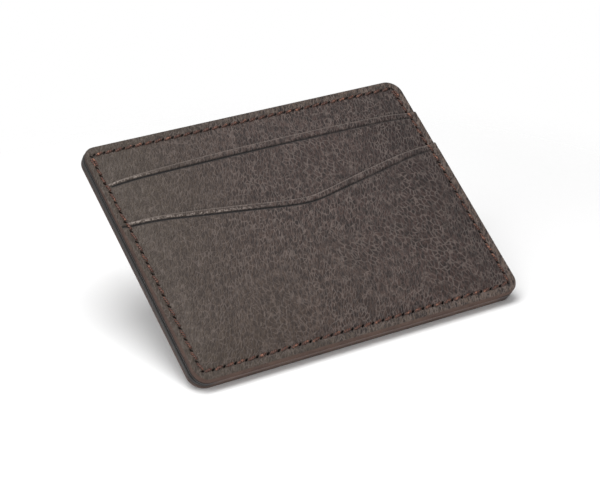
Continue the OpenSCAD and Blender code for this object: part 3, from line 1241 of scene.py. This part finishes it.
@dataclass
class Stitching:
    """One thread of a seam: a row of leaning stitches with their ends in the holes."""

    name: str
    seam: Seam
    level: float
    outward: int
    layout: Layout
    swell: Swell | None = None
    rise: float = 0.0
    thread_d: float = 0.7
    lean: float = 0.26
    leg: float = 1.0
    steps: bool = False
    rng: random.Random = field(default_factory=lambda: random.Random(7))

    def build(self) -> Piece:
        """Model one stitch and copy it along the seam.

        Returns:
            All the stitches of this thread as one mesh.
        """
        pattern = self.one_stitch()
        copies = []
        for number, (a, b) in enumerate(self.seam.runs()):
            sides = (-0.4, 0.4) if number in self.seam.doubled else (0.0,)
            for side in sides:
                one = copy_of(pattern, "stitch")
                self.lay(one, a, b, side, slim=len(sides) > 1)
                copies.append(one)
        bpy.data.objects.remove(pattern)
        piece = joined(copies)
        piece.name = piece.data.name = self.name
        only(piece)
        bpy.ops.object.shade_smooth()
        return piece

    def one_stitch(self) -> Piece:
        """A round strand one millimetre long with rings along it and a UV for its twist.

        Returns:
            The strand, along X, from -0.5 to 0.5, with a radius of one millimetre.
        """
        start_fresh()
        bpy.ops.mesh.primitive_cylinder_add(
            vertices=8, radius=MM, depth=MM, rotation=(0, math.pi / 2, 0), end_fill_type="NGON"
        )
        strand = bpy.context.object
        bpy.ops.object.transform_apply(location=True, rotation=True, scale=True)
        mesh = strand.data
        bpy.ops.object.mode_set(mode="EDIT")
        bpy.ops.mesh.select_mode(type="EDGE")
        bpy.ops.mesh.select_all(action="DESELECT")
        bpy.ops.object.mode_set(mode="OBJECT")
        for edge in mesh.edges:
            a, b = (mesh.vertices[v].co for v in edge.vertices)
            edge.select = abs(a.x - b.x) > 0.5 * MM
        bpy.ops.object.mode_set(mode="EDIT")
        bpy.ops.mesh.subdivide(number_cuts=len(RINGS) - 2)
        bpy.ops.object.mode_set(mode="OBJECT")
        while mesh.uv_layers:
            mesh.uv_layers.remove(mesh.uv_layers[0])
        layer = mesh.uv_layers.new(name="strand")
        for face in mesh.polygons:
            centre = math.atan2(face.center.z, face.center.y)
            for loop in face.loop_indices:
                co = mesh.vertices[mesh.loops[loop].vertex_index].co
                angle = math.atan2(co.z, co.y)
                angle += 2 * math.pi * round((centre - angle) / (2 * math.pi))
                layer.data[loop].uv = (angle / (2 * math.pi) * 1.5, co.x / MM * 5)
        return strand

    def lay(self, one: Piece, a: Point, b: Point, side: float, slim: bool) -> None:
        """Bend one stitch from hole to hole.

        Args:
            one: The stitch to shape.
            a: Its first hole.
            b: Its second hole.
            side: How far it lies beside the seam line.
            slim: Whether it shares its holes with another strand.
        """
        start, end = np.array(a), np.array(b)
        run = end - start
        length = float(np.hypot(*run))
        ahead = run / length
        left = np.array([-ahead[1], ahead[0]])
        p = read_places(one)
        t = p[:, 0] + 0.5
        spread = np.interp(t, np.linspace(0, 1, len(RINGS)), RINGS)
        sink = np.interp(spread, RINGS, RING_SINK)
        thick = np.interp(spread, RINGS, RING_THICK)
        jitter = self.rng.uniform(-0.04, 0.04)
        r = self.thread_d / 2 * (0.8 if slim else 1.0) * thick
        arch = 0.07 * np.sin(np.pi * spread)
        lean = (self.lean + jitter) * np.sin(np.pi * (spread - 0.5))
        lean = lean + side * np.sin(np.pi * np.clip(spread, 0, 1)) ** 0.5
        upright = self.level_at(start, end, spread) + self.outward * (arch - sink * self.leg)
        tilt = np.where(sink > 0.05, np.sign(spread - 0.5) * 0.6, 0)
        across, up = p[:, 1] * r, p[:, 2] * r * 0.92
        flat = spread * length + tilt * up * 0.8
        p_new = np.empty_like(p)
        for axis in (0, 1):
            p_new[:, axis] = start[axis] + ahead[axis] * flat + left[axis] * (across * self.outward + lean)
        p_new[:, 2] = upright + up * self.outward
        write_places(one, p_new)
        # mask for the painted shade where the thread sinks into the holes
        store(one, "sunk", np.clip(sink * 1.6, 0, 1))

    def level_at(self, start: Array, end: Array, t: Array) -> Array:
        """Height of the thread's middle along one stitch.

        Args:
            start: The first hole.
            end: The second hole.
            t: Shares of the way.

        Returns:
            The heights.
        """
        if self.steps:
            return self.stepped(start, end, t)
        x = start[0] + (end[0] - start[0]) * t
        y = start[1] + (end[1] - start[1]) * t
        swell = self.rise * self.swell.share(x, y) if self.swell else 0
        return self.level + swell + 0 * t

    def stepped(self, start: Array, end: Array, t: Array) -> Array:
        """Height along a stitch that may wrap over a lip.

        Args:
            start: The first hole.
            end: The second hole.
            t: Shares of the way.

        Returns:
            The heights.
        """
        y = start[1] + (end[1] - start[1]) * t
        x = np.full_like(y, start[0])
        z = np.full_like(y, self.level)
        for lip in (self.layout.upper_lip, self.layout.lower_lip):
            z = z - LIP_STEP * smooth((y - lip.height(x) + LIP_STEP_BELOW) / LIP_STEP_RUN)
        return z


# ---- Sub-assemblies -------------------------------------------------------


@dataclass
class SubAssembly:
    """What each part of the wallet is cut and sewn from."""

    layout: Layout
    plan: SeamPlan
    leather: Material
    lining: Material
    thread: Material

    def cut(
        self,
        name: str,
        slot: str,
        node: str,
        swell: Swell,
        faces: tuple[float, float],
        rise: float,
        **shape: object,
    ) -> Piece:
        """Cut and dress one ply.

        Args:
            name: The piece's name.
            slot: The record's material slot.
            node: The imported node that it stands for.
            swell: Where it swells.
            faces: Heights of its back and its front in the sewn border.
            rise: How far it swells.
            shape: The rest of the ply's fields.

        Returns:
            The finished ply.
        """
        ply = Ply(name, self.layout, swell, faces[0], faces[1] - faces[0], rise, **shape).build()
        dress(ply, self.lining if shape.get("kind") is Finish.LINING else self.leather, slot, node)
        return ply

    def sew(self, name: str, node: str, seam: Seam, level: float, outward: int, **shape: object) -> None:
        """Lay and dress one thread of a seam.

        Args:
            name: The piece's name.
            node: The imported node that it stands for.
            seam: The seam it belongs to.
            level: Height of the thread's middle.
            outward: 1 on a front face, and -1 on a back face.
            shape: The rest of the stitching's fields.
        """
        thread = Stitching(name, seam, level, outward, self.layout, **shape).build()
        dress(thread, self.thread, "thread", node)


@dataclass
class BackHalf(SubAssembly):
    """Plain back panel with its lining."""

    edge_round: float = 0.28

    def build(self) -> None:
        """Make the panel, the lining and the two mouth threads."""
        z = self.layout.levels
        swell, rise = Swell(self.layout.outline, through_mouth=True), -z.back_swell
        outer, mouth = self.plan.outer(), self.plan.mouth()
        panel = self.cut(
            "back_leather_panel", "back_leather", "back_panel", swell, (z.back, z.back_lining), rise,
            step=0.6, low_round=self.edge_round, back_seams=(outer, mouth), holes=(outer, mouth),
        )
        cloth = self.cut(
            "back_half_lining", "lining", "back_lining", swell, (z.back_lining, z.seam), rise,
            kind=Finish.LINING, step=1.4, top_round=0.25,
        )
        self.layout.cut()
        self.sew(
            "back_mouth_outside_stitches", "back_mouth_outer_thread", mouth, z.back + 0.46, -1,
            swell=swell, rise=rise,
        )
        self.sew(
            "back_mouth_inside_stitches", "back_mouth_inner_thread", mouth, z.seam - 0.2, 1,
            swell=swell, rise=rise, thread_d=0.4, lean=0.15, leg=0.3,
        )


@dataclass
class FrontHalf(SubAssembly):
    """Front panel with its lining and the two card pockets."""

    edge_round: float = 0.6
    drawn_in: float = 0.5

    def build(self) -> None:
        """Make the lining, the panel, both pockets and the half's own threads."""
        z = self.layout.levels
        swell = Swell(self.layout.outline)
        outer, mouth, stop = self.plan.outer(), self.plan.mouth(), self.plan.stop()
        cloth = self.cut(
            "front_half_lining", "lining", "front_lining", swell, (z.seam, z.front_panel), z.front_swell,
            kind=Finish.LINING, step=1.4, low_round=0.25, drawn_in=self.drawn_in,
        )
        leather = {"top_round": self.edge_round, "drawn_in": self.drawn_in}
        panel = self.cut(
            "front_leather_panel", "panel_leather", "front_panel", swell,
            (z.front_panel, z.upper_pocket), z.front_swell,
            step=0.6, front_seams=(outer, mouth), holes=(outer, mouth), **leather,
        )
        self.layout.cut()
        self.cut(
            "upper_pocket_leather", "pocket_leather", "upper_card_pocket", swell,
            (z.upper_pocket, z.lower_pocket), z.upper_swell,
            lip=self.layout.upper_lip, step=0.55, front_seams=(outer,), holes=(outer,),
            crease_in=3.2, **leather,
        )
        self.cut(
            "lower_pocket_leather", "pocket_leather", "lower_card_pocket", swell,
            (z.lower_pocket, z.top), z.lower_swell,
            lip=self.layout.lower_lip, step=0.5, front_seams=(outer,), holes=(outer,), **leather,
        )
        self.sew("front_mouth_outside_stitches", "front_mouth_outer_thread", mouth, z.upper_pocket - 0.08, 1)
        self.sew(
            "front_mouth_inside_stitches", "front_mouth_inner_thread", mouth, z.seam + 0.2, -1,
            thread_d=0.4, lean=0.15, leg=0.3,
        )
        self.sew(
            "card_stop_front_stitches", "card_stop_front_thread", stop, z.lower_pocket - 0.2, 1,
            swell=swell, rise=z.upper_swell, thread_d=0.4, lean=0.12, leg=0.8,
        )
        self.sew(
            "card_stop_back_stitches", "card_stop_back_thread", stop, z.seam + 0.2, -1,
            swell=swell, rise=z.front_swell, thread_d=0.4, lean=0.12, leg=0.4,
        )


@dataclass
class OuterSeam(SubAssembly):
    """The saddle-stitched seam that joins the halves on three sides."""

    def build(self) -> None:
        """Make the front and the back thread."""
        z, seam = self.layout.levels, self.plan.outer()
        self.sew("outer_seam_front_stitches", "outer_seam_front_thread", seam, z.top - 0.12, 1, steps=True)
        self.sew("outer_seam_back_stitches", "outer_seam_back_thread", seam, z.back + 0.4, -1)


# ---- Studio ---------------------------------------------------------------


@dataclass(frozen=True)
class Studio:
    """Leaning pale floor, soft lights and the camera."""

    lean: float = math.radians(34.8)
    rest_y: float = -37.5
    rest_z: float = 0.5
    eye: tuple[float, float, float] = (-263.0, -217.5, 423.4)
    aim: tuple[float, float, float] = (-3.3, -7.0, 5.0)
    lens: float = 120.4
    shift_x: float = -0.0097
    shift_y: float = 0.0035
    floor_half: float = 170.0
    world_light: float = 0.29

    @property
    def up(self) -> Vector:
        """Straight up from the floor, in the wallet's own axes."""
        return Vector((0, math.sin(self.lean), math.cos(self.lean)))

    @property
    def away(self) -> Vector:
        """Along the floor, away from the viewer's side."""
        return Vector((0, math.cos(self.lean), -math.sin(self.lean)))

    def spot(self, right: float, away: float, up: float) -> Vector:
        """A place in metres, from millimetres along the floor and above it."""
        foot = Vector((0, self.rest_y, self.rest_z))
        return (foot + Vector((right, 0, 0)) + self.away * away + self.up * up) * MM

    def build(self) -> None:
        """Set up the camera, the floor, the lights and the world."""
        self.camera()
        self.floor()
        self.lights()
        self.world()
        bpy.context.scene.view_settings.view_transform = "Standard"

    def camera(self) -> None:
        """Place the camera."""
        data = bpy.data.cameras.new("camera")
        camera = bpy.data.objects.new("camera", data)
        bpy.context.scene.collection.objects.link(camera)
        eye, aim = Vector(self.eye) * MM, Vector(self.aim) * MM
        back = (eye - aim).normalized()
        right = self.up.cross(back).normalized()
        top = back.cross(right)
        turn = Matrix((right, top, back)).transposed().to_4x4()
        camera.matrix_world = Matrix.Translation(eye) @ turn
        data.lens = self.lens
        data.sensor_width = 36
        data.shift_x, data.shift_y = self.shift_x, self.shift_y
        data.clip_start, data.clip_end = 0.01, 20
        bpy.context.scene.camera = camera

    def floor(self) -> None:
        """Lay a small white floor that fades out all round."""
        start_fresh()
        bpy.ops.mesh.primitive_grid_add(x_subdivisions=24, y_subdivisions=24, size=2 * self.floor_half * MM)
        floor = bpy.context.object
        floor.name = floor.data.name = "studio_floor"
        axes = Matrix((Vector((1, 0, 0)), self.away, self.up)).transposed().to_4x4()
        floor.data.transform(Matrix.Translation(self.spot(0, 30, -0.05)) @ axes)
        b = Bench("studio_white")
        b.surface(Base_Color=(0.95, 0.95, 0.95))
        b.surface(Roughness=0.9, Specular_IOR_Level=0.0)
        rim = b.ramp(b.apart(b.place, self.spot(0, 30, 0)), 0.1, 0.165)
        beneath = b.add("ShaderNodeNewGeometry").outputs["Backfacing"]
        clear = b.add("ShaderNodeBsdfTransparent")
        blend = b.add("ShaderNodeMixShader")
        b.feed(blend.inputs[0], b.maths("MAXIMUM", rim, beneath))
        b.feed(blend.inputs[1], b.shader.outputs[0])
        b.feed(blend.inputs[2], clear.outputs[0])
        b.feed(b.output.inputs[0], blend.outputs[0])
        floor.data.materials.append(b.material)

    def softbox(self, name: str, place: Vector, size: float, watts: float) -> None:
        """Hang a square softbox that faces the wallet.

        Args:
            name: The lamp's name.
            place: Where it hangs, in metres.
            size: Length of its side, in metres.
            watts: Its power.
        """
        data = bpy.data.lights.new(name, "AREA")
        data.shape, data.size = "SQUARE", size
        data.energy = watts
        lamp = bpy.data.objects.new(name, data)
        bpy.context.scene.collection.objects.link(lamp)
        lamp.location = place
        lamp.rotation_euler = (place - Vector((0, 0, 0.004))).to_track_quat("Z", "Y").to_euler()

    def lights(self) -> None:
        """Hang the key and the two fill softboxes."""
        self.softbox("key", self.spot(-60, 50, 450), 0.34, 1.75)
        self.softbox("left fill", self.spot(-300, 0, 200), 0.3, 0.45)
        self.softbox("front fill", self.spot(-60, -420, 110), 0.3, 0.95)

    def world(self) -> None:
        """Surround the set with white."""
        world = bpy.data.worlds.new("studio_white_room")
        world.use_nodes = True
        nodes, links = world.node_tree.nodes, world.node_tree.links
        nodes.clear()
        output = nodes.new("ShaderNodeOutputWorld")
        seen, felt = nodes.new("ShaderNodeBackground"), nodes.new("ShaderNodeBackground")
        seen.inputs["Strength"].default_value = 1.0
        seen.inputs["Color"].default_value = felt.inputs["Color"].default_value = (1, 1, 1, 1)
        felt.inputs["Strength"].default_value = self.world_light
        ray, blend = nodes.new("ShaderNodeLightPath"), nodes.new("ShaderNodeMixShader")
        links.new(ray.outputs["Is Camera Ray"], blend.inputs[0])
        links.new(felt.outputs[0], blend.inputs[1])
        links.new(seen.outputs[0], blend.inputs[2])
        links.new(blend.outputs[0], output.inputs[0])
        bpy.context.scene.world = world


def main() -> None:
    """Build the studio, then the wallet from its back to its front."""
    logging.basicConfig(level=logging.INFO, format="%(name)s: %(message)s")
    layout = Layout.from_frame()
    plan = SeamPlan(layout)
    Studio().build()
    log.info("studio set")
    leather = LeatherFinish().make()
    lining = LiningFinish().make()
    thread = ThreadFinish().make()
    BackHalf(layout, plan, leather, lining, thread).build()
    FrontHalf(layout, plan, leather, lining, thread).build()
    OuterSeam(layout, plan, leather, lining, thread).build()
    log.info("sizes written")


if __name__ == "__main__":
    main()
